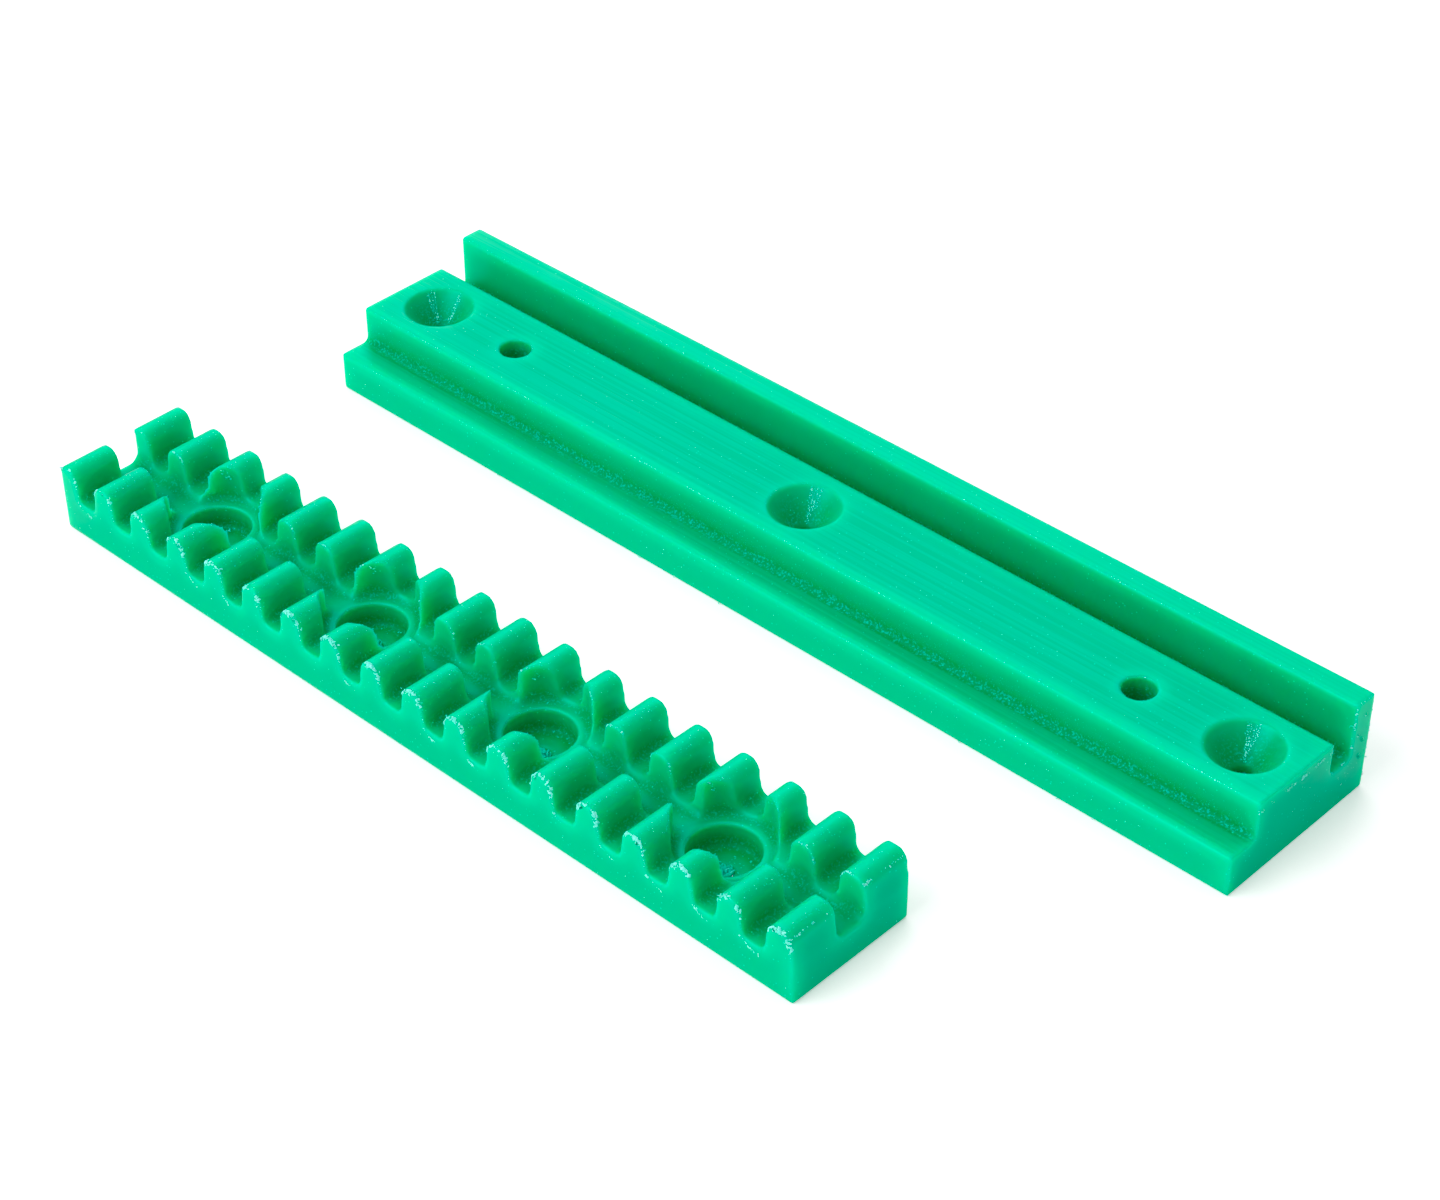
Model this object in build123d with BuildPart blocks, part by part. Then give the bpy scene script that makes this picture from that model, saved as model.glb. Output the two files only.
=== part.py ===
"""Two-piece linear drive set: a double-row toothed rack and the stepped guide rail beside it.

Frame, in mm: +X along both pieces, +Y from the rack to the rail, +Z up from the base faces.
The origin is under the middle of the pair, on the plane both pieces stand on.
"""
from build123d import *
from math import cos, pi, radians, sin, tan
import os

os.makedirs("parts", exist_ok=True)

# ---- guide rail: driving sizes -------------------------------------------------------------
RAIL_LENGTH = 161.6
RAIL_WIDTH = 28.8
RAIL_CENTRE_X = 0.85
RAIL_NEAR_Y = 10.45
LEDGE_DEPTH = 5.0
LEDGE_HEIGHT = 6.2
BLOCK_WIDTH = 15.7
BLOCK_HEIGHT = 11.8
SLOT_WIDTH = 4.1
SLOT_FLOOR_Z = 6.7
WALL_HEIGHT = 15.2
RAIL_EDGE_ROUND = 0.45
LEDGE_CORNER_ROUND = 0.6
SLOT_CORNER_ROUND = 0.9

SCREW_HOLE_SPACING = 72.9
SCREW_HOLE_COUNT = 3
SCREW_HOLE_RADIUS = 1.25
COUNTERSINK_RADIUS = 5.2
COUNTERSINK_DEPTH = 4.55
DOWEL_HOLE_SPACING = 113.2
DOWEL_HOLE_RADIUS = 2.25

# ---- toothed rack: driving sizes -----------------------------------------------------------
MODULE = 2.5
PITCH = pi * MODULE
TEETH = 18
RACK_LENGTH = 137.5
RACK_WIDTH = 20.8
RACK_START_X = -81.65
RACK_NEAR_Y = -39.25
FIRST_TOOTH_OFFSET = 1.3
ROOT_HEIGHT = 5.75
TOOTH_TIP_HEIGHT = 10.65
TIP_RADIUS = 1.95
FLANK_ANGLE = 7.0
ROOT_ROUND = 1.1
GROOVE_WIDTH = 4.9
GROOVE_FLOOR_Z = 5.0
GROOVE_CORNER_ROUND = 1.5

MOUNT_SPACING = 32.0
MOUNT_COUNT = 4
MOUNT_HOLE_RADIUS = 1.25
RECESS_RADIUS = 4.7
RECESS_FLOOR_Z = 1.5
RECESS_CORNER_ROUND = 0.7
POCKET_RADIUS = 6.5
POCKET_CORNER_ROUND = 1.0

# ---- sizes that follow from the driving ones ------------------------------------------------
OVERCUT = 1.0
rail_start_x = RAIL_CENTRE_X - RAIL_LENGTH / 2
block_far = LEDGE_DEPTH + BLOCK_WIDTH
wall_near = block_far + SLOT_WIDTH
rail_hole_y = RAIL_NEAR_Y + LEDGE_DEPTH + BLOCK_WIDTH / 2
rack_centre_x = RACK_START_X + RACK_LENGTH / 2
rack_centre_y = RACK_NEAR_Y + RACK_WIDTH / 2
tip_centre_z = TOOTH_TIP_HEIGHT - TIP_RADIUS
shoulder_half = TIP_RADIUS * cos(radians(FLANK_ANGLE))
shoulder_z = tip_centre_z + TIP_RADIUS * sin(radians(FLANK_ANGLE))
root_half = shoulder_half + (shoulder_z - ROOT_HEIGHT) * tan(radians(FLANK_ANGLE))
first_tooth_x = RACK_START_X + FIRST_TOOTH_OFFSET
last_tooth_x = first_tooth_x + (TEETH - 1) * PITCH
end_flat = RACK_START_X + RACK_LENGTH - last_tooth_x - root_half


def plan_line(count, spacing, centre):
    """X positions of a row of holes, evenly spaced about centre."""
    return [centre + spacing * (n - (count - 1) / 2) for n in range(count)]


def hole_plane(x, y):
    """Upright plane through a hole's axis: local x is the radius, local y the height."""
    return Plane(origin=(x, y, 0), x_dir=(1, 0, 0), z_dir=(0, -1, 0))


def corners_at(sketch, points):
    """Corners of a sketch that lie on the given points."""
    found = []
    for corner in sketch.vertices():
        for px, py in points:
            if abs(corner.X - px) < 1e-6 and abs(corner.Y - py) < 1e-6:
                found.append(corner)
    return found


# ---- guide rail ---------------------------------------------------------------------------
ledge_edge = (0, LEDGE_HEIGHT)
ledge_corner = (LEDGE_DEPTH, LEDGE_HEIGHT)
block_edges = [(LEDGE_DEPTH, BLOCK_HEIGHT), (block_far, BLOCK_HEIGHT)]
slot_corners = [(block_far, SLOT_FLOOR_Z), (wall_near, SLOT_FLOOR_Z)]
wall_edges = [(wall_near, WALL_HEIGHT), (RAIL_WIDTH, WALL_HEIGHT)]
rail_outline = [(0, 0), ledge_edge, ledge_corner]
rail_outline += block_edges + slot_corners + wall_edges + [(RAIL_WIDTH, 0)]

with BuildPart() as guide_rail:
    with BuildSketch(Plane(origin=(rail_start_x, RAIL_NEAR_Y, 0), x_dir=(0, 1, 0), z_dir=(1, 0, 0))) as section:
        with BuildLine():
            Polyline(*rail_outline, close=True)
        make_face()
        fillet(corners_at(section, [ledge_edge] + block_edges + wall_edges), RAIL_EDGE_ROUND)
        fillet(corners_at(section, [ledge_corner]), LEDGE_CORNER_ROUND)
        fillet(corners_at(section, slot_corners), SLOT_CORNER_ROUND)
    extrude(amount=RAIL_LENGTH)

    # Countersunk screw holes: a cone down from the block's top, then a small through hole.
    for x in plan_line(SCREW_HOLE_COUNT, SCREW_HOLE_SPACING, RAIL_CENTRE_X):
        with BuildSketch(hole_plane(x, rail_hole_y)):
            with BuildLine():
                Polyline(
                    (0, -OVERCUT),
                    (SCREW_HOLE_RADIUS, -OVERCUT),
                    (SCREW_HOLE_RADIUS, BLOCK_HEIGHT - COUNTERSINK_DEPTH),
                    (COUNTERSINK_RADIUS, BLOCK_HEIGHT),
                    (COUNTERSINK_RADIUS, BLOCK_HEIGHT + OVERCUT),
                    (0, BLOCK_HEIGHT + OVERCUT),
                    close=True,
                )
            make_face()
        revolve(axis=Axis((x, rail_hole_y, 0), (0, 0, 1)), mode=Mode.SUBTRACT)

    # Plain locating holes, straight through the block.
    for x in plan_line(2, DOWEL_HOLE_SPACING, RAIL_CENTRE_X):
        with BuildSketch(Plane.XY.offset(-OVERCUT)):
            with Locations((x, rail_hole_y)):
                Circle(DOWEL_HOLE_RADIUS)
        extrude(amount=BLOCK_HEIGHT + 2 * OVERCUT, mode=Mode.SUBTRACT)

guide_rail.part.label = "guide_rail"
export_step(guide_rail.part, "parts/guide_rail.step")

# ---- toothed rack -------------------------------------------------------------------------
with BuildPart() as toothed_rack:
    with BuildSketch(Plane(origin=(0, RACK_NEAR_Y + RACK_WIDTH, 0), x_dir=(1, 0, 0), z_dir=(0, -1, 0))) as side:
        with Locations((rack_centre_x, ROOT_HEIGHT / 2)):
            Rectangle(RACK_LENGTH, ROOT_HEIGHT)
        for n in range(TEETH):
            x = first_tooth_x + n * PITCH
            far = x + (end_flat if n == TEETH - 1 else 0)
            with BuildLine():
                Polyline(
                    (x - root_half, ROOT_HEIGHT),
                    (x - shoulder_half, shoulder_z),
                    (far + shoulder_half, shoulder_z),
                    (far + root_half, ROOT_HEIGHT),
                    close=True,
                )
            make_face()
            with Locations((x, tip_centre_z), (far, tip_centre_z)):
                Circle(TIP_RADIUS)
        # The last tooth reaches the end face, so its tip has a short flat between two rounds.
        with Locations((last_tooth_x + end_flat / 2, tip_centre_z)):
            Rectangle(end_flat, 2 * TIP_RADIUS)
        with Locations((rack_centre_x, TOOTH_TIP_HEIGHT / 2)):
            Rectangle(RACK_LENGTH, TOOTH_TIP_HEIGHT, mode=Mode.INTERSECT)
        roots = []
        for n in range(TEETH - 1):
            x = first_tooth_x + n * PITCH
            roots += [(x + root_half, ROOT_HEIGHT), (x + PITCH - root_half, ROOT_HEIGHT)]
        fillet(corners_at(side, roots), ROOT_ROUND)
    extrude(amount=RACK_WIDTH)

    # Lengthwise groove between the two rows of teeth.
    with BuildSketch(Plane(origin=(RACK_START_X, rack_centre_y, 0), x_dir=(0, 1, 0), z_dir=(1, 0, 0))) as groove:
        with Locations((0, (GROOVE_FLOOR_Z + TOOTH_TIP_HEIGHT + OVERCUT) / 2)):
            Rectangle(GROOVE_WIDTH, TOOTH_TIP_HEIGHT + OVERCUT - GROOVE_FLOOR_Z)
        groove_corners = [(-GROOVE_WIDTH / 2, GROOVE_FLOOR_Z), (GROOVE_WIDTH / 2, GROOVE_FLOOR_Z)]
        fillet(corners_at(groove, groove_corners), GROOVE_CORNER_ROUND)
    extrude(amount=RACK_LENGTH, mode=Mode.SUBTRACT)

    # Screw pockets: a round pocket to the groove's floor, a deeper recess and a through hole.
    for x in plan_line(MOUNT_COUNT, MOUNT_SPACING, rack_centre_x):
        with BuildSketch(hole_plane(x, rack_centre_y)) as pocket:
            with BuildLine():
                Polyline(
                    (0, -OVERCUT),
                    (MOUNT_HOLE_RADIUS, -OVERCUT),
                    (MOUNT_HOLE_RADIUS, RECESS_FLOOR_Z),
                    (RECESS_RADIUS, RECESS_FLOOR_Z),
                    (RECESS_RADIUS, GROOVE_FLOOR_Z),
                    (POCKET_RADIUS, GROOVE_FLOOR_Z),
                    (POCKET_RADIUS, TOOTH_TIP_HEIGHT + OVERCUT),
                    (0, TOOTH_TIP_HEIGHT + OVERCUT),
                    close=True,
                )
            make_face()
            fillet(corners_at(pocket, [(RECESS_RADIUS, RECESS_FLOOR_Z)]), RECESS_CORNER_ROUND)
            fillet(corners_at(pocket, [(POCKET_RADIUS, GROOVE_FLOOR_Z)]), POCKET_CORNER_ROUND)
        revolve(axis=Axis((x, rack_centre_y, 0), (0, 0, 1)), mode=Mode.SUBTRACT)

toothed_rack.part.label = "toothed_rack"
export_step(toothed_rack.part, "parts/toothed_rack.step")
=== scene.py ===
"""Looks for the double-row toothed rack and its guide rail, milled from waxy, see-through plastic.

Each CAD node is replaced by a copy with its edges worn soft. The copy carries three values at each
point, which the plastic reads: how sharply it stands out as an edge, how deep it lies in a corner,
and how far the shape around it swells out or sinks in. From these it paints shade into the hollows,
and painted glow and a painted highlight onto the swells and edges. The flakes, dust and curls that
the cutter left ride on each bar as pieces of their own; among them, pale chips down the
countersinks are a painted glint, and dull heaps in the pockets' small holes are painted shade.
"""
import math
import random

import bmesh
import bpy
import numpy as np
from mathutils import Matrix, Vector
from mathutils.bvhtree import BVHTree
from mathutils.kdtree import KDTree


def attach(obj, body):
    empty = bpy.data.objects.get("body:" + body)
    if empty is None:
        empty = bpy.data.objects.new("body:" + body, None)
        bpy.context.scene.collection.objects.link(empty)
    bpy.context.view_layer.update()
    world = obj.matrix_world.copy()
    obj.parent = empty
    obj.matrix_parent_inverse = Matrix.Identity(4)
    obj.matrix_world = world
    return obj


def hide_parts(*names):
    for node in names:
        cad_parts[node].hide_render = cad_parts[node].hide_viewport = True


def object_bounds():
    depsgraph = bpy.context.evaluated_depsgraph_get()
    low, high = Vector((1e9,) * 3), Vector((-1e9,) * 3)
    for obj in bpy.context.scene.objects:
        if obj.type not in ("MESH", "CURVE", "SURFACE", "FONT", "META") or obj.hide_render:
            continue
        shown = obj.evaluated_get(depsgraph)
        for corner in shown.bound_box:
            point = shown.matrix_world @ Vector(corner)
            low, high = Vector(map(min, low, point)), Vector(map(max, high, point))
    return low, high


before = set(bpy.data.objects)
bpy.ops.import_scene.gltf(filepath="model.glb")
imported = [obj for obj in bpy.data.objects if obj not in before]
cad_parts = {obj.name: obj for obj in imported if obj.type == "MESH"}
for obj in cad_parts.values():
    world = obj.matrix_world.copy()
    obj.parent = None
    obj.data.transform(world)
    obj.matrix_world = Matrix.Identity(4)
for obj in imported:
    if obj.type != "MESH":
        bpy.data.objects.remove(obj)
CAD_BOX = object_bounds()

MM = 0.001

# ---- camera: looks down along the pair from its near right-hand side -----------------------
CAMERA_AZIMUTH = 43.433
CAMERA_ELEVATION = 37.685
CAMERA_ROLL = -0.057
CAMERA_DISTANCE = 428.4 * MM
CAMERA_TARGET = Vector((-3.6, 11.3, 0.0)) * MM
CAMERA_LENS = 78.73
CAMERA_SENSOR = 36.0
CAMERA_CLIP = 10.0 * MM


def make_camera():
    """A camera on an orbit about the target, with azimuth 0 looking along +Y."""
    azimuth, elevation = math.radians(CAMERA_AZIMUTH), math.radians(CAMERA_ELEVATION)
    back = Vector((
        math.sin(azimuth) * math.cos(elevation),
        -math.cos(azimuth) * math.cos(elevation),
        math.sin(elevation),
    ))
    right = Vector((0, 0, 1)).cross(back).normalized()
    up = back.cross(right)
    roll = Matrix.Rotation(math.radians(CAMERA_ROLL), 3, "Z")
    turn = Matrix((right, up, back)).transposed() @ roll
    data = bpy.data.cameras.new("camera")
    data.lens = CAMERA_LENS
    data.sensor_width = CAMERA_SENSOR
    data.clip_start = CAMERA_CLIP
    camera = bpy.data.objects.new("camera", data)
    camera.matrix_world = (
        Matrix.Translation(CAMERA_TARGET + back * CAMERA_DISTANCE) @ turn.to_4x4()
    )
    bpy.context.scene.collection.objects.link(camera)
    bpy.context.scene.camera = camera


# ---- materials -----------------------------------------------------------------------------
class Look:
    """A material's node graph, with short names for the nodes that the looks are made of."""

    def __init__(self, name, settings):
        self.material = bpy.data.materials.new(name)
        self.material.use_nodes = True
        self.nodes = self.material.node_tree.nodes
        self.shader = self.nodes["Principled BSDF"]
        for socket, value in settings.items():
            self.shader.inputs[socket].default_value = value

    def feed(self, socket, value):
        """Sets a socket to a number or an RGB triple, or links another socket to it."""
        if isinstance(value, (int, float)):
            socket.default_value = value
        elif isinstance(value, tuple):
            socket.default_value = (*value, 1)
        else:
            self.material.node_tree.links.new(value, socket)

    def maths(self, operation, first, second):
        node = self.nodes.new("ShaderNodeMath")
        node.operation = operation
        node.use_clamp = operation in ("MULTIPLY", "ADD")
        self.feed(node.inputs[0], first)
        self.feed(node.inputs[1], second)
        return node.outputs["Value"]

    def times(self, first, second):
        return self.maths("MULTIPLY", first, second)

    def plus(self, first, second):
        return self.maths("ADD", first, second)

    def ranged(self, value, span, start=0.0, end=1.0):
        """Goes smoothly from start to end while the value goes over its span."""
        node = self.nodes.new("ShaderNodeMapRange")
        node.interpolation_type = "SMOOTHSTEP"
        numbers = {"From Min": span[0], "From Max": span[1], "To Min": start, "To Max": end}
        for socket, number in numbers.items():
            node.inputs[socket].default_value = number
        self.feed(node.inputs["Value"], value)
        return node.outputs["Result"]

    def mixed(self, factor, first, second):
        """A colour mixed from two, each a socket or an RGB triple."""
        node = self.nodes.new("ShaderNodeMix")
        node.data_type = "RGBA"
        self.feed(node.inputs[0], factor)
        self.feed(node.inputs[6], first)
        self.feed(node.inputs[7], second)
        return node.outputs[2]

    def attribute(self, name):
        node = self.nodes.new("ShaderNodeAttribute")
        node.attribute_name = name
        return node.outputs["Fac"]

    def place(self):
        return self.nodes.new("ShaderNodeTexCoord").outputs["Object"]

    def noise(self, scale, stretch=(1.0, 1.0, 1.0), detail=2.0):
        """Noise in the object's own space, with scale in cycles per millimetre."""
        mapping = self.nodes.new("ShaderNodeMapping")
        mapping.inputs["Scale"].default_value = [scale * part / MM for part in stretch]
        self.feed(mapping.inputs["Vector"], self.place())
        node = self.nodes.new("ShaderNodeTexNoise")
        node.inputs["Scale"].default_value = 1.0
        node.inputs["Detail"].default_value = detail
        self.feed(node.inputs["Vector"], mapping.outputs["Vector"])
        return node.outputs["Fac"]

    def specks(self, spacing, radius, share):
        """Dots of up to that radius, in a share of the cells of a net of that spacing, in mm."""
        cells = self.nodes.new("ShaderNodeTexVoronoi")
        cells.inputs["Scale"].default_value = 1 / (spacing * MM)
        self.feed(cells.inputs["Vector"], self.place())
        split = self.nodes.new("ShaderNodeSeparateColor")
        self.feed(split.inputs["Color"], cells.outputs["Color"])
        rim = (0.5 * radius / spacing, radius / spacing)
        near = self.ranged(cells.outputs["Distance"], rim, 1.0, 0.0)
        chosen = self.maths("LESS_THAN", split.outputs["Red"], share)
        return self.times(near, chosen)


PLASTIC = {
    "IOR": 1.72,
    "Specular Tint": (0.0, 1.0, 1.0, 1),
    "Subsurface Weight": 1.0,
    "Subsurface Radius": (0.3, 1.0, 0.5),
    "Subsurface Scale": 5.0 * MM,
}
# The deepest green is painted shade, laid into the hollows.
PLASTIC_PAINTED_SHADE = (0.0, 0.40, 0.06)
PLASTIC_MAIN = (0.0, 0.50, 0.20)
# The paler green serves for painted glow on the swells, as if light came through thin parts, and
# for random clouds.
PLASTIC_CLOUD_AND_PAINTED_GLOW = (0.0, 0.62, 0.30)
# The palest body green serves for a painted highlight, with some dust, on the edges, and for the
# cutter's lines.
PLASTIC_LINES_AND_EDGE_HIGHLIGHT = (0.0, 0.66, 0.38)
PLASTIC_TORN = (0.04, 0.70, 0.54)
PLASTIC_FLECK = (0.12, 0.86, 0.66)

# Where each colour comes in, and how much of it there is at most: painted shade in the hollows,
# painted glow on the swells, a painted highlight with some dust on the edges, torn bits in corners.
HOLLOWS = (-0.9, -0.02)
SWELLS, PAINTED_GLOW_SHARE = (0.0, 0.6), 0.62
EDGES, EDGE_HIGHLIGHT_SHARE = (0.25, 1.0), 0.35
CORNERS = (0.10, 0.55)

# Patterns: scales in cycles per millimetre, the flecks' spacing and radius in millimetres.
CLOUD_SCALE, CLOUDS, CLOUD_SHARE = 0.06, (0.35, 0.65), 0.09
TORN_SCALE, TORN_BITS = 3.0, (0.50, 0.66)
FLECK_SPACING, FLECK_RADIUS, FLECKED_CELLS, FLECK_SHARE = 0.9, 0.13, 0.65, 0.75
LINE_SCALE, LINE_STRETCH, LINES, LINE_SHARE = 1.9, (0.006, 1.0, 0.2), (0.36, 0.64), 0.34
LOOKS_UP = (0.90, 0.98)
FINE_SCALE = 0.9

GLOSS_CLOUDS, GLOSSIEST, DULLEST, TORN_DULLING = (0.3, 0.7), 0.34, 0.42, 0.22
LINE_HEIGHT, FINE_HEIGHT = 0.55, 0.25
BUMP_STRENGTH, BUMP_DEPTH = 0.35, 0.06 * MM


def green_plastic(name, lined, tearing):
    """Waxy green: painted shade in hollows, painted light on swells and edges; torn in corners;
    perhaps lined on top.
    """
    look = Look(name, PLASTIC)
    swell = look.attribute("swell")
    # Painted shade: a darker, yellower green in the hollows.
    colour = look.mixed(look.ranged(swell, HOLLOWS, 1.0, 0.0), PLASTIC_MAIN, PLASTIC_PAINTED_SHADE)
    # Painted glow: a paler green where the shape swells out, standing in for light through the thin
    # plastic.
    colour = look.mixed(look.ranged(swell, SWELLS, 0.0, PAINTED_GLOW_SHARE), colour, PLASTIC_CLOUD_AND_PAINTED_GLOW)
    # Painted highlight, with some dust: a paler mint along the edges.
    edge = look.ranged(look.attribute("edge"), EDGES, 0.0, EDGE_HIGHLIGHT_SHARE)
    colour = look.mixed(edge, colour, PLASTIC_LINES_AND_EDGE_HIGHLIGHT)
    cloud = look.noise(CLOUD_SCALE, detail=3.0)
    colour = look.mixed(look.ranged(cloud, CLOUDS, 0.0, CLOUD_SHARE), colour, PLASTIC_CLOUD_AND_PAINTED_GLOW)

    # Rough-cut corners: a mottled band of tiny torn bits.
    torn = look.noise(TORN_SCALE, detail=4.0)
    band = look.ranged(look.attribute("corner"), CORNERS)
    torn_bits = look.times(look.times(look.ranged(torn, TORN_BITS), band), tearing)
    colour = look.mixed(torn_bits, colour, PLASTIC_TORN)

    flecks = look.specks(FLECK_SPACING, FLECK_RADIUS, FLECKED_CELLS)
    colour = look.mixed(look.times(flecks, FLECK_SHARE), colour, PLASTIC_FLECK)

    roughness = look.ranged(cloud, GLOSS_CLOUDS, GLOSSIEST, DULLEST)
    roughness = look.plus(roughness, look.times(band, TORN_DULLING))

    height = look.times(torn, band)
    if lined:
        # The cutter's lines run along the bar, on the faces that look up.
        geometry = look.nodes.new("ShaderNodeNewGeometry")
        split = look.nodes.new("ShaderNodeSeparateXYZ")
        look.feed(split.inputs["Vector"], geometry.outputs["Normal"])
        upward = look.ranged(split.outputs["Z"], LOOKS_UP)
        lines = look.ranged(look.noise(LINE_SCALE, LINE_STRETCH, detail=1.0), LINES)
        lines = look.times(lines, upward)
        colour = look.mixed(look.times(lines, LINE_SHARE), colour, PLASTIC_LINES_AND_EDGE_HIGHLIGHT)
        height = look.plus(height, look.times(lines, LINE_HEIGHT))
    fine = look.noise(FINE_SCALE, detail=3.0)
    height = look.plus(height, look.times(fine, FINE_HEIGHT))
    bump = look.nodes.new("ShaderNodeBump")
    bump.inputs["Strength"].default_value = BUMP_STRENGTH
    bump.inputs["Distance"].default_value = BUMP_DEPTH
    look.feed(bump.inputs["Height"], height)
    look.feed(look.shader.inputs["Normal"], bump.outputs["Normal"])
    look.feed(look.shader.inputs["Base Color"], colour)
    look.feed(look.shader.inputs["Roughness"], roughness)
    return look.material


CUTTINGS = {"IOR": 1.5, "Specular Tint": (0.3, 1.0, 1.0, 1), "Roughness": 0.35}
CUTTINGS_DULL = (0.02, 0.70, 0.50)
CUTTINGS_PALE = (0.38, 1.0, 0.90)


def swarf_plastic():
    """Thin cuttings, which look whiter than the bar they came from."""
    look = Look("swarf_plastic", CUTTINGS)
    colour = look.mixed(look.attribute("pale"), CUTTINGS_DULL, CUTTINGS_PALE)
    look.feed(look.shader.inputs["Base Color"], colour)
    return look.material


# ---- studio: places and sizes in metres, powers in watts ------------------------------------
SKY_STRENGTH = 0.39
SQUARE_LIGHTS = (
    # name, place, side, power
    ("key", (-0.39, -1.08, 0.96), 1.2, 16.0),
    ("back", (-0.80, 0.86, 0.92), 1.2, 7.6),
    ("top", (0.0, 0.0, 1.5), 1.5, 1.8),
)
FLOOR_HALF = 3.0
FLOOR_DROP = 0.05 * MM
FLOOR = {
    "Base Color": (0.93, 0.93, 0.94, 1),
    "Roughness": 0.9,
    "Specular IOR Level": 0.1,
    "Emission Color": (1, 1, 1, 1),
}
FLOOR_GLOW = 0.15
FLOOR_GLOW_SEEN = 0.36
RED_CUT = 0.07


def lay_floor():
    mesh = bpy.data.meshes.new("floor")
    half = FLOOR_HALF
    corners = [(-half, -half, 0), (half, -half, 0), (half, half, 0), (-half, half, 0)]
    mesh.from_pydata(corners, [], [(0, 1, 2, 3)])
    obj = bpy.data.objects.new("floor", mesh)
    obj.location.z = -FLOOR_DROP
    bpy.context.scene.collection.objects.link(obj)
    look = Look("floor_white", FLOOR)
    # The table is lit until it is nearly white, more than it lights the bars.
    path = look.nodes.new("ShaderNodeLightPath")
    glow = look.nodes.new("ShaderNodeMapRange")
    glow.inputs["To Min"].default_value = FLOOR_GLOW
    glow.inputs["To Max"].default_value = FLOOR_GLOW_SEEN
    look.feed(glow.inputs["Value"], path.outputs["Is Camera Ray"])
    look.feed(look.shader.inputs["Emission Strength"], glow.outputs["Result"])
    mesh.materials.append(look.material)


def light_scene():
    scene = bpy.context.scene
    world = bpy.data.worlds.new("studio")
    scene.world = world
    world.use_nodes = True
    background = world.node_tree.nodes["Background"]
    background.inputs["Color"].default_value = (1, 1, 1, 1)
    background.inputs["Strength"].default_value = SKY_STRENGTH
    for name, place, side, power in SQUARE_LIGHTS:
        data = bpy.data.lights.new(name, "AREA")
        data.shape = "SQUARE"
        data.size = side
        data.energy = power
        light = bpy.data.objects.new(name, data)
        light.location = place
        light.rotation_euler = (-Vector(place)).to_track_quat("-Z", "Y").to_euler()
        scene.collection.objects.link(light)
    # Colours are shown as they are, but for a little red that is taken off all of them.
    view = scene.view_settings
    view.view_transform = "Standard"
    view.look = "None"
    view.use_curve_mapping = True
    view.curve_mapping.black_level = (RED_CUT, 0.0, 0.0)
    view.curve_mapping.update()


# ---- soft-edged bodies ---------------------------------------------------------------------
VOXEL = 0.26 * MM
SKIN_INSET = 0.07 * MM
KEPT_TRIANGLES = 185000
# Each value at a point compares it with its surroundings after some rounds of relaxing.
SOFT_ROUNDS = 5
EDGE_ROUNDS, EDGE_DEPTH = 40, 0.22 * MM
SWELL_ROUNDS, SWELL_DEPTH = 200, 0.55 * MM
# The painted highlight and glow fade out on edges near the table, where little light reaches.
LIT_HEIGHT = 3.0 * MM


def apply_modifiers(piece):
    graph = bpy.context.evaluated_depsgraph_get()
    piece.data = bpy.data.meshes.new_from_object(piece.evaluated_get(graph))
    piece.modifiers.clear()


def vectors_of(mesh, name):
    """A vector that each of a mesh's points has, as an array with a row for each point."""
    values = np.empty(len(mesh.vertices) * 3, dtype=np.float32)
    mesh.vertices.foreach_get(name, values)
    return values.reshape(-1, 3)


def move_points(mesh, points):
    mesh.vertices.foreach_set("co", points.astype(np.float32).ravel())
    mesh.update()


def relaxed(points, ends, rounds):
    """Points moved halfway to the mean of their neighbours, some rounds over."""
    first, second = ends
    count = len(points)
    shares = np.bincount(first, minlength=count) + np.bincount(second, minlength=count)
    for _ in range(rounds):
        mean = np.empty_like(points)
        for axis in range(3):
            total = np.bincount(first, weights=points[second, axis], minlength=count)
            total += np.bincount(second, weights=points[first, axis], minlength=count)
            mean[:, axis] = total / shares
        points = (points + mean) / 2
    return points


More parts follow.
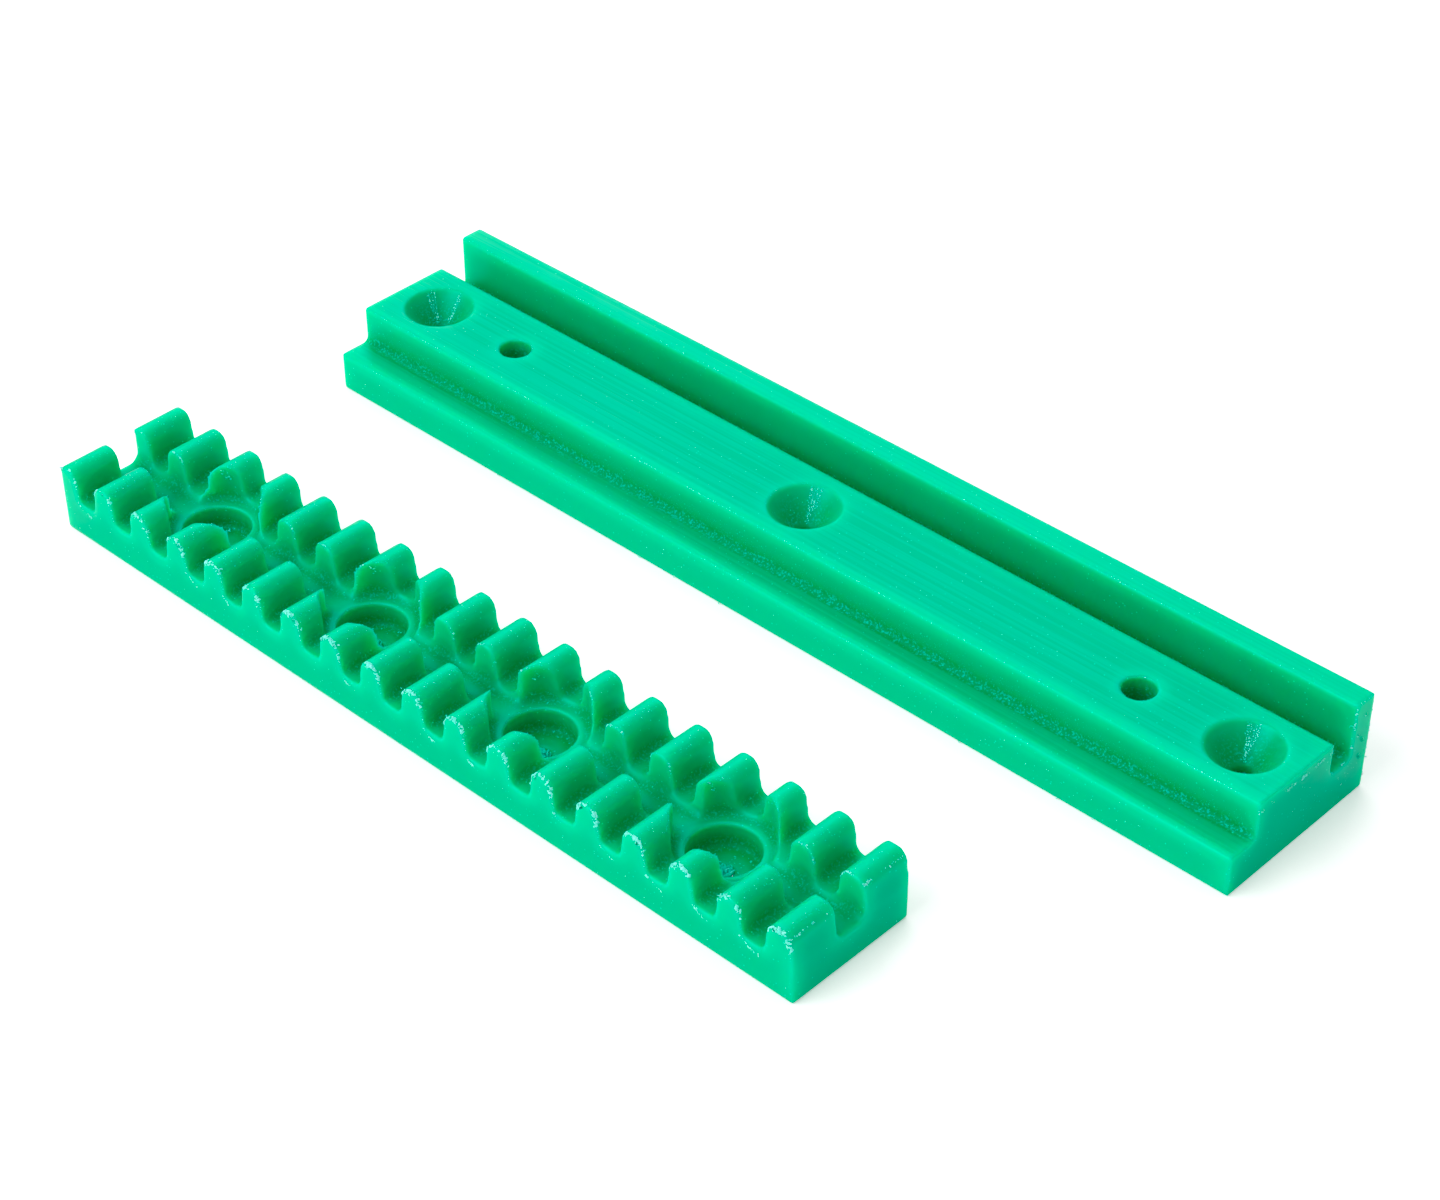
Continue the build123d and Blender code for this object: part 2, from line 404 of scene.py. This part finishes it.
def soft_body(node, body, material):
    """A copy of a CAD node with worn edges, which replaces it."""
    piece = bpy.data.objects.new(node + "_worn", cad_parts[node].data.copy())
    bpy.context.scene.collection.objects.link(piece)
    remesh = piece.modifiers.new("remesh", "REMESH")
    remesh.mode = "VOXEL"
    remesh.voxel_size = VOXEL
    apply_modifiers(piece)

    mesh = piece.data
    ends = np.empty(len(mesh.edges) * 2, dtype=np.int32)
    mesh.edges.foreach_get("vertices", ends)
    ends = ends.reshape(-1, 2).T
    soft = relaxed(vectors_of(mesh, "co").astype(np.float64), ends, SOFT_ROUNDS)
    move_points(mesh, soft)
    normals = vectors_of(mesh, "normal")
    nearby = relaxed(soft, ends, EDGE_ROUNDS)
    widely = relaxed(nearby, ends, SWELL_ROUNDS - EDGE_ROUNDS)
    # The outward values drive the painted highlight and glow, so these fade out near the table.
    lit = np.clip(soft[:, 2] / LIT_HEIGHT, 0, 1)
    measures = []
    for surroundings, depth in ((nearby, EDGE_DEPTH), (widely, SWELL_DEPTH)):
        outward = ((soft - surroundings) * normals).sum(axis=1) / depth
        measures.append(np.where(outward > 0, outward * lit, outward))
    stands_out, swells = measures
    soft = soft - normals * SKIN_INSET
    move_points(mesh, soft)

    # Fewer triangles, each point of which takes the values of the old point nearest to it.
    lookup = KDTree(len(soft))
    for index, point in enumerate(soft):
        lookup.insert(point, index)
    lookup.balance()
    triangles = sum(len(face.vertices) - 2 for face in mesh.polygons)
    decimate = piece.modifiers.new("decimate", "DECIMATE")
    decimate.ratio = min(1.0, KEPT_TRIANGLES / triangles)
    apply_modifiers(piece)
    mesh = piece.data
    nearest = [lookup.find(vertex.co)[1] for vertex in mesh.vertices]
    values_at_points = (("edge", stands_out, 0), ("corner", -stands_out, 0), ("swell", swells, -1))
    for name, values, least in values_at_points:
        layer = mesh.attributes.new(name, "FLOAT", "POINT")
        layer.data.foreach_set("value", np.clip(values[nearest], least, 1).astype(np.float32))

    mesh.shade_smooth()
    mesh.materials.clear()
    mesh.materials.append(material)
    piece.name = mesh.name = node + "_worn"
    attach(piece, body)
    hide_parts(node)
    return piece


# ---- swarf ---------------------------------------------------------------------------------
# Half-lengths of the cuttings in mm, and how pale they are.
DUST, FINE, FLAKE, LARGE = (0.02, 0.07), (0.03, 0.13), (0.05, 0.25), (0.05, 0.32)
DULL, MIXED, BRIGHT = (0.1, 0.6), (0.2, 0.9), (0.35, 1.0)
# Small ones are far more common than large ones.
SIZE_POWER = 2.2

# A chip's tilt, and the spans of its width and height as shares of its length.
CHIP_TILT = (-0.4, 0.4)
CHIP_WIDTH, CHIP_HEIGHT = (0.35, 0.85), (0.22, 0.5)
CHIP_RAGGEDNESS = (0.65, 1.3)

# A curl's lean off the surface, its reach in radians, and its width as a share of its radius.
CURL_LEAN, CURL_REACH, CURL_WIDTH = (0.15, 0.6), (2.2, 5.2), (0.14, 0.26)
CURL_STEPS = 11
CURL_THICKNESS = 0.044
CURL_NARROWING, CURL_DRIFT = 0.35, 0.25


class Swarf:
    """Small cuttings that cling to one bar, among them chips placed as painted glints and painted
    shade. Places and sizes are in millimetres.
    """

    def __init__(self, bar, seed, left, right):
        self.left, self.right = left, right
        self.tree = BVHTree.FromObject(bar, bpy.context.evaluated_depsgraph_get())
        self.draw = random.Random(seed)
        self.points, self.faces, self.pale = [], [], []
        ball = bmesh.new()
        bmesh.ops.create_icosphere(ball, subdivisions=1, radius=1.0)
        self.ball_points = [vertex.co.copy() for vertex in ball.verts]
        self.ball_faces = [[vertex.index for vertex in face.verts] for face in ball.faces]
        ball.free()

    def seat(self, place):
        """The bar's nearest surface point, its normal and a random direction along it."""
        spot, normal, _, _ = self.tree.find_nearest(Vector(place) * MM)
        turn = self.draw.uniform(0, 2 * math.pi)
        along = normal.orthogonal().normalized()
        along.rotate(Matrix.Rotation(turn, 3, normal))
        return spot, normal, along

    def add(self, points, faces, pale):
        start = len(self.points)
        self.points += points
        self.faces += [[start + index for index in face] for face in faces]
        self.pale += [pale] * len(points)

    def chip(self, place, size, pale, seated=True):
        """An irregular flake, on the surface or loose in a heap."""
        draw = self.draw
        spot, normal, along = self.seat(place)
        if not seated:
            spot = Vector(place) * MM
        normal = (normal + along * draw.uniform(*CHIP_TILT)).normalized()
        across = normal.cross(along).normalized()
        along = across.cross(normal)
        length = size * MM
        width = length * draw.uniform(*CHIP_WIDTH)
        height = length * draw.uniform(*CHIP_HEIGHT)
        points = []
        for x, y, z in self.ball_points:
            rough = draw.uniform(*CHIP_RAGGEDNESS)
            offset = along * (x * length) + across * (y * width) + normal * (z * height)
            points.append(spot + offset * rough)
        self.add(points, self.ball_faces, pale)

    def curl(self, place, radius, pale):
        """A thin ribbon that winds up off the surface."""
        draw = self.draw
        spot, normal, along = self.seat(place)
        lean = draw.uniform(*CURL_LEAN)
        up = (normal * lean + normal.cross(along) * (1 - lean)).normalized()
        across = along.cross(up).normalized()
        reach = draw.uniform(*CURL_REACH)
        half_width = radius * draw.uniform(*CURL_WIDTH) * MM
        half_thick = CURL_THICKNESS / 2 * MM
        points, faces = [], []
        for step in range(CURL_STEPS):
            share = step / (CURL_STEPS - 1)
            angle = reach * share
            out = along * math.sin(angle) + up * (1 - math.cos(angle))
            inward = up * math.cos(angle) - along * math.sin(angle)
            grow = radius * MM * (1 - CURL_NARROWING * share)
            taper = math.sin(math.pi * (0.12 + 0.8 * share))
            drift = CURL_DRIFT * radius * MM * step / CURL_STEPS
            middle = spot + out * grow + across * drift
            for side, face in ((-1, -1), (1, -1), (1, 1), (-1, 1)):
                sideways = across * (side * half_width * taper)
                points.append(middle + sideways + inward * (face * half_thick))
            if step:
                base = 4 * (step - 1)
                for k in range(4):
                    following = (k + 1) % 4
                    faces.append([base + k, base + following, base + 4 + following, base + 4 + k])
        last = 4 * (CURL_STEPS - 1)
        faces += [[3, 2, 1, 0], [last, last + 1, last + 2, last + 3]]
        self.add(points, faces, pale)

    def scatter(self, path, sizes, paleness, count, spread, clumps=0, clump=0.03):
        """Chips along a path of straight runs, drawn together into clumps if there are any.

        The spread is in millimetres, and the clump is each clump's share of the path's length.
        """
        draw = self.draw
        lengths = [(Vector(b) - Vector(a)).length for a, b in zip(path, path[1:])]
        total = sum(lengths)
        middles = [draw.random() for _ in range(clumps)]
        for _ in range(count):
            share = draw.random()
            if middles:
                share = min(1.0, max(0.0, draw.choice(middles) + draw.gauss(0, clump)))
            left = share * total
            for start, end, length in zip(path, path[1:], lengths):
                if left <= length or end is path[-1]:
                    break
                left -= length
            place = Vector(start).lerp(Vector(end), min(1.0, left / length))
            place += Vector([draw.gauss(0, spread) for _ in range(3)])
            small, large = sizes
            size = small + (large - small) * draw.random() ** SIZE_POWER
            self.chip(place, size, draw.uniform(*paleness))

    def lengthwise(self, place, sizes, paleness, **amounts):
        """Chips along the whole bar, at a place across it with its height."""
        path = [(self.left, *place), (self.right, *place)]
        self.scatter(path, sizes, paleness, **amounts)

    def finish(self, name, body, material):
        """All the cuttings as one piece on a body, kept inside the CAD model's box."""
        low, high = (Vector(corner) for corner in CAD_BOX)
        points = [[min(max(p[k], low[k]), high[k]) for k in range(3)] for p in self.points]
        mesh = bpy.data.meshes.new(name)
        mesh.from_pydata(points, [], self.faces)
        mesh.attributes.new("pale", "FLOAT", "POINT").data.foreach_set("value", self.pale)
        mesh.materials.append(material)
        piece = bpy.data.objects.new(name, mesh)
        bpy.context.scene.collection.objects.link(piece)
        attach(piece, body)


def ring(x, y, z, radius, start=0, end=360, steps=24):
    """Points round a level circle, with angles in degrees from +X towards +Y."""
    angles = [math.radians(start + (end - start) * n / steps) for n in range(steps + 1)]
    return [(x + radius * math.cos(a), y + radius * math.sin(a), z) for a in angles]


# ---- swarf on the rack: its teeth, faces and holes, in millimetres --------------------------
PITCH = 7.854
FIRST_TOOTH_X = -80.35
TEETH = 18
TIP_Z, TIP_RADIUS = 8.7, 1.95
NEAR_FACE, GROOVE_NEAR, GROOVE_FAR, FAR_FACE = -39.2, -31.4, -26.3, -18.5
TOOTH_ROWS = ((NEAR_FACE, GROOVE_NEAR), (GROOVE_FAR, FAR_FACE))
RACK_LEFT, RACK_RIGHT = -81.5, 55.8
RACK_MIDDLE_Y = -28.85
CROWN_Z, CURL_Z, END_TIP_Z = 10.8, 10.0, 10.5
POCKET_X = (-60.9, -28.9, 3.1, 35.1)
POCKET_RIM_Z, POCKET_RADIUS = 10.3, 6.5
GROOVE_FLOOR_Z = 5.0
RECESS_RADIUS, RECESS_REACH, RECESS_FLOOR_Z = 4.75, 4.4, 1.5
RECESS_CHIPS = (22, 22, 22, 60)
# Painted shade: a heap of dull chips fills each pocket's small hole, so the table down it looks
# dim.
HOLE_SHADE_REACH, HOLE_SHADE_LOW_Z = 1.15, 0.5
HOLE_SHADE_CHIPS, HOLE_SHADE_SIZES = 130, (0.18, 0.40)
LOW_EDGE_Z, SIDE_MIDDLE_Z, END_MIDDLE_Z = 0.1, 2.8, 3.0

# The first tooth's share of full cover, which the teeth from the ninth one on have.
LEFT_COVER, FULL_COVER_AT = 0.35, 8
TIP_FLAKES = 64
# Turns in degrees over a tip, and places across a tooth and a valley with their heights.
TIP_SIDES, RIDGE_TURNS = ((-80, 15), (10, 100)), (20, 45)
FLANK = ((1.95, 8.4), (2.25, 6.6))
DIP = ((-1.8, 5.9), (-0.8, 5.0), (1.0, 4.6))
RIDGE_CHANCE, DIP_CHANCE = 0.6, 0.7
CROWN_SHIFT = 0.7


def over_tip(x, y, start, end, steps=12):
    """Points over a tooth's round tip, with angles in degrees from straight up towards +X."""
    angles = [math.radians(start + (end - start) * n / steps) for n in range(steps + 1)]
    return [(x + TIP_RADIUS * math.sin(a), y, TIP_Z + TIP_RADIUS * math.cos(a)) for a in angles]


def tooth_swarf(work, x, number):
    """The cuttings on one tooth of each row, and in the near row's valley after it."""
    draw = work.draw
    ramp = LEFT_COVER + (1 - LEFT_COVER) * min(1.0, number / FULL_COVER_AT)
    cover = ramp * draw.uniform(0.6, 1.0)
    for start, end in TIP_SIDES:
        tip = over_tip(x, NEAR_FACE, start, end)
        flakes = int(TIP_FLAKES * cover)
        work.scatter(tip, LARGE, BRIGHT, count=flakes, spread=0.26, clumps=4, clump=0.09)
    flank = [(x + side, NEAR_FACE, z) for side, z in FLANK]
    work.scatter(flank, FINE, BRIGHT, count=12, spread=0.10)
    if draw.random() < RIDGE_CHANCE:
        turn = math.radians(draw.uniform(*RIDGE_TURNS))
        side, z = x + TIP_RADIUS * math.sin(turn), TIP_Z + TIP_RADIUS * math.cos(turn)
        ridge = [(side, NEAR_FACE, z), (side, GROOVE_NEAR, z)]
        work.scatter(ridge, FINE, MIXED, count=draw.randint(14, 40), spread=0.14)
    if number < TEETH - 1 and draw.random() < DIP_CHANCE:
        dip = [(x + PITCH / 2 + side, NEAR_FACE, z) for side, z in DIP]
        flakes = draw.randint(12, 34)
        work.scatter(dip, FLAKE, BRIGHT, count=flakes, spread=0.10, clumps=3, clump=0.12)

    # The edges of the tips along the groove and the far face.
    for y, start, end, sizes, low, high, clumps, clump in (
        (GROOVE_NEAR, -50, 95, FINE, 6, 16, 4, 0.06),
        (GROOVE_FAR, -85, 100, FLAKE, 14, 34, 4, 0.08),
        (FAR_FACE, -50, 95, FINE, 4, 14, 3, 0.06),
    ):
        tip, count = over_tip(x, y, start, end), draw.randint(low, high)
        work.scatter(tip, sizes, MIXED, count=count, spread=0.12, clumps=clumps, clump=clump)
    for low, high in TOOTH_ROWS:
        crown = [(x + CROWN_SHIFT, y, CROWN_Z) for y in (low + CROWN_SHIFT, high - CROWN_SHIFT)]
        work.scatter(crown, FINE, BRIGHT, count=draw.randint(14, 44), spread=0.75)
    for _ in range(draw.randint(0, 3)):
        side = draw.choice((-1, 1)) * draw.uniform(0.6, 1.9)
        place = (x + side, NEAR_FACE, CURL_Z)
        work.curl(place, draw.uniform(0.18, 0.42), draw.uniform(*BRIGHT))


def disc(draw, x, reach):
    """A random place within that reach of a pocket's middle."""
    turn, out = draw.uniform(0, 2 * math.pi), reach * math.sqrt(draw.random())
    return x + out * math.cos(turn), RACK_MIDDLE_Y + out * math.sin(turn)


def pocket_swarf(work, x, chips):
    """The cuttings round a screw pocket's rim and on its recess floor, and a heap of dull chips in
    its small hole as painted shade.
    """
    draw = work.draw
    rim = ring(x, RACK_MIDDLE_Y, POCKET_RIM_Z, POCKET_RADIUS)
    work.scatter(rim, FINE, MIXED, count=90, spread=0.14, clumps=14, clump=0.02)
    step = ring(x, RACK_MIDDLE_Y, GROOVE_FLOOR_Z, RECESS_RADIUS)
    work.scatter(step, FINE, DULL, count=34, spread=0.12, clumps=7)
    for _ in range(chips):
        place = (*disc(draw, x, RECESS_REACH), RECESS_FLOOR_Z)
        work.chip(place, draw.uniform(*FLAKE), draw.uniform(*DULL))
    # Painted shade: dull chips heaped in the small hole, in place of the dim table seen down it.
    for _ in range(HOLE_SHADE_CHIPS):
        place = (*disc(draw, x, HOLE_SHADE_REACH), draw.uniform(HOLE_SHADE_LOW_Z, RECESS_FLOOR_Z))
        work.chip(place, draw.uniform(*HOLE_SHADE_SIZES), draw.uniform(*DULL), seated=False)


def rack_swarf(bar, material):
    work = Swarf(bar, seed=11, left=RACK_LEFT, right=RACK_RIGHT)
    for number in range(TEETH):
        tooth_swarf(work, FIRST_TOOTH_X + PITCH * number, number)
    for x, chips in zip(POCKET_X, RECESS_CHIPS):
        pocket_swarf(work, x, chips)

    def crosswise(x, z, sizes, paleness, near=NEAR_FACE, far=FAR_FACE, **amounts):
        work.scatter([(x, near, z), (x, far, z)], sizes, paleness, **amounts)

    low_edge, front = (NEAR_FACE, LOW_EDGE_Z), (NEAR_FACE, SIDE_MIDDLE_Z)
    groove, back = (RACK_MIDDLE_Y, GROOVE_FLOOR_Z), (FAR_FACE, SIDE_MIDDLE_Z)
    work.lengthwise(low_edge, FINE, BRIGHT, count=170, spread=0.10, clumps=10, clump=0.02)
    work.lengthwise(front, FINE, MIXED, count=150, spread=1.1)
    work.lengthwise(groove, FINE, DULL, count=60, spread=1.0)
    for near, far in TOOTH_ROWS:
        amounts = {"count": 40, "spread": 0.14, "clumps": 5, "clump": 0.05}
        crosswise(RACK_RIGHT, END_TIP_Z, FLAKE, BRIGHT, near, far, **amounts)
    crosswise(RACK_RIGHT, LOW_EDGE_Z, FINE, BRIGHT, count=24, spread=0.10, clumps=4, clump=0.05)
    crosswise(RACK_RIGHT, END_MIDDLE_Z, FINE, MIXED, count=16, spread=1.0)
    crosswise(RACK_LEFT, END_MIDDLE_Z, FINE, MIXED, count=16, spread=1.0)
    work.lengthwise(back, FINE, MIXED, count=110, spread=1.1)
    work.finish("rack_swarf", "rack", material)


# ---- swarf on the rail: its faces and holes, in millimetres ---------------------------------
RAIL_LEFT, RAIL_RIGHT = -79.8, 81.6
# Places across the rail with their heights, for what lies along it.
FRONT_FACE, BASE_EDGE, FRONT_MIDDLE = 10.45, (10.45, 0.05), (10.45, 3.2)
LEDGE_EDGE, LEDGE_MIDDLE = (10.6, 6.05), (12.9, 6.2)
TORN_CORNER, TORN_BAND = (15.1, 6.3), (15.4, 7.7)
CUTTER_MARKS = (((15.45, 8.6), 240), ((15.45, 9.2), 200))
BLOCK_EDGE, BLOCK_MIDDLE = (15.6, 11.65), (22.0, 11.8)
WALL_NEAR_EDGE, WALL_FAR_EDGE, BACK_MIDDLE = (35.4, 15.1), (39.1, 15.1), (39.25, 7.5)
# Outlines on the end faces, in the same terms.
UNDER_BLOCK_TOP = ((15.6, 10.4), (31.0, 10.5))
SLOT_OUTLINE = ((31.2, 11.6), (31.3, 6.9), (35.1, 6.9), (35.2, 15.0))
WALL_OUTLINE = ((35.3, 15.1), (39.1, 15.1), (39.1, 1.0))
BASE_OUTLINE = ((10.6, 0.1), (39.0, 0.1))
ACROSS_END = ((16.0, 5.0), (38.0, 5.0))
# Holes in the block's top. A radius on a cone comes with its height.
HOLE_Y, BLOCK_TOP_Z = 23.3, 11.8
DOWEL_X, DOWEL_RADIUS = (-55.75, 57.45), 2.3
CONE_X, CONE_RADIUS = (-72.05, 0.85, 73.75), 5.2
GLINT_TOP, GLINT_LOW = (4.9, 11.5), (1.7, 7.8)
CONE_BOTTOM, CONE_BOTTOM_TURNS = (2.2, 8.2), (130, 290)
# Painted glints: streaks of pale chips down each cone's far side, where its highlight falls; their
# turns in degrees, and how much of the way they reach.
RIGHT_GLINTS = ((104, 0.55), (110, 0.8), (116, 1.0), (121, 1.0))
LEFT_GLINTS = ((94, 0.8), (99, 1.0), (146, 1.0), (152, 1.0), (158, 0.7))
CONE_GLINTS = (LEFT_GLINTS, RIGHT_GLINTS, RIGHT_GLINTS)
FULL_GLINT = 110


def end_path(x, outline):
    return [(x, y, z) for y, z in outline]


def on_cone(x, turn, spot):
    radius, z = spot
    return Vector((x + radius * math.cos(turn), HOLE_Y + radius * math.sin(turn), z))


def rail_swarf(bar, material):
    work = Swarf(bar, seed=23, left=RAIL_LEFT, right=RAIL_RIGHT)
    draw = work.draw

    # The block's near edge, the torn band above the ledge and the two cutter marks over it.
    work.lengthwise(BLOCK_EDGE, FINE, BRIGHT, count=520, spread=0.07, clumps=26, clump=0.012)
    work.lengthwise(TORN_BAND, DUST, DULL, count=2300, spread=0.60)
    for mark, count in CUTTER_MARKS:
        work.lengthwise(mark, DUST, DULL, count=count, spread=0.05)
    work.lengthwise(TORN_CORNER, DUST, DULL, count=380, spread=0.22)
    # The ledge's top edge, the front, its bottom edge, and the ledge's top.
    work.lengthwise(LEDGE_EDGE, FINE, MIXED, count=130, spread=0.09, clumps=18, clump=0.012)
    work.lengthwise(FRONT_MIDDLE, FINE, BRIGHT, count=200, spread=1.2, clumps=24)
    work.lengthwise(BASE_EDGE, FINE, BRIGHT, count=380, spread=0.07, clumps=8, clump=0.022)
    work.lengthwise(LEDGE_MIDDLE, FINE, MIXED, count=60, spread=0.9)
    # The block's top and the wall's two upper edges.
    work.lengthwise(BLOCK_MIDDLE, FINE, MIXED, count=50, spread=3.0)
    work.lengthwise(WALL_FAR_EDGE, FINE, MIXED, count=170, spread=0.08, clumps=18, clump=0.012)
    work.lengthwise(WALL_NEAR_EDGE, FINE, BRIGHT, count=230, spread=0.08, clumps=22, clump=0.012)

    for x in DOWEL_X:
        rim = ring(x, HOLE_Y, BLOCK_TOP_Z, DOWEL_RADIUS)
        work.scatter(rim, FINE, BRIGHT, count=34, spread=0.07, clumps=6)
    for x, glint_streaks in zip(CONE_X, CONE_GLINTS):
        rim = ring(x, HOLE_Y, BLOCK_TOP_Z, CONE_RADIUS)
        work.scatter(rim, FINE, BRIGHT, count=20, spread=0.05, clumps=5, clump=0.012)
        # Painted glint: a line of pale chips down the cone, standing in for its highlight.
        for degrees, reach in glint_streaks:
            turn = math.radians(degrees)
            top, low = on_cone(x, turn, GLINT_TOP), on_cone(x, turn, GLINT_LOW)
            glint_streak, chips = [top, top.lerp(low, reach)], int(FULL_GLINT * reach)
            work.scatter(glint_streak, FINE, BRIGHT, count=chips, spread=0.10)
        radius, z = CONE_BOTTOM
        bottom = ring(x, HOLE_Y, z, radius, *CONE_BOTTOM_TURNS)
        work.scatter(bottom, FINE, DULL, count=26, spread=0.25, clumps=7)

    # The right-hand end: a line under the block's top, the slot's sides, the wall and the base.
    for outline, sizes, count, spread, clumps in (
        (UNDER_BLOCK_TOP, FLAKE, 110, 0.16, 14),
        (SLOT_OUTLINE, FLAKE, 60, 0.12, 9),
        (WALL_OUTLINE, FLAKE, 70, 0.12, 9),
        (BASE_OUTLINE, FINE, 60, 0.10, 9),
    ):
        path = end_path(RAIL_RIGHT, outline)
        work.scatter(path, sizes, BRIGHT, count=count, spread=spread, clumps=clumps, clump=0.02)
    work.scatter(end_path(RAIL_RIGHT, ACROSS_END), FINE, MIXED, count=60, spread=1.6)
    # The left-hand end and the far side, more thinly.
    work.scatter(end_path(RAIL_LEFT, ACROSS_END), FINE, MIXED, count=50, spread=1.8)
    work.lengthwise(BACK_MIDDLE, FINE, MIXED, count=130, spread=3.5)

    # Curls on the wall's right-hand end and along the front's bottom edge.
    for _ in range(9):
        place = (RAIL_RIGHT, draw.uniform(33, 39), draw.uniform(2, 14))
        work.curl(place, draw.uniform(0.2, 0.45), draw.uniform(*BRIGHT))
    for _ in range(10):
        place = (draw.uniform(RAIL_LEFT, RAIL_RIGHT), FRONT_FACE, 0.3)
        work.curl(place, draw.uniform(0.15, 0.3), draw.uniform(*BRIGHT))
    work.finish("rail_swarf", "rail", material)


make_camera()
light_scene()
lay_floor()
rail = soft_body("guide_rail", "rail", green_plastic("rail_plastic", lined=True, tearing=0.8))
rack = soft_body("toothed_rack", "rack", green_plastic("rack_plastic", lined=False, tearing=0.4))
swarf = swarf_plastic()
rail_swarf(rail, swarf)
rack_swarf(rack, swarf)
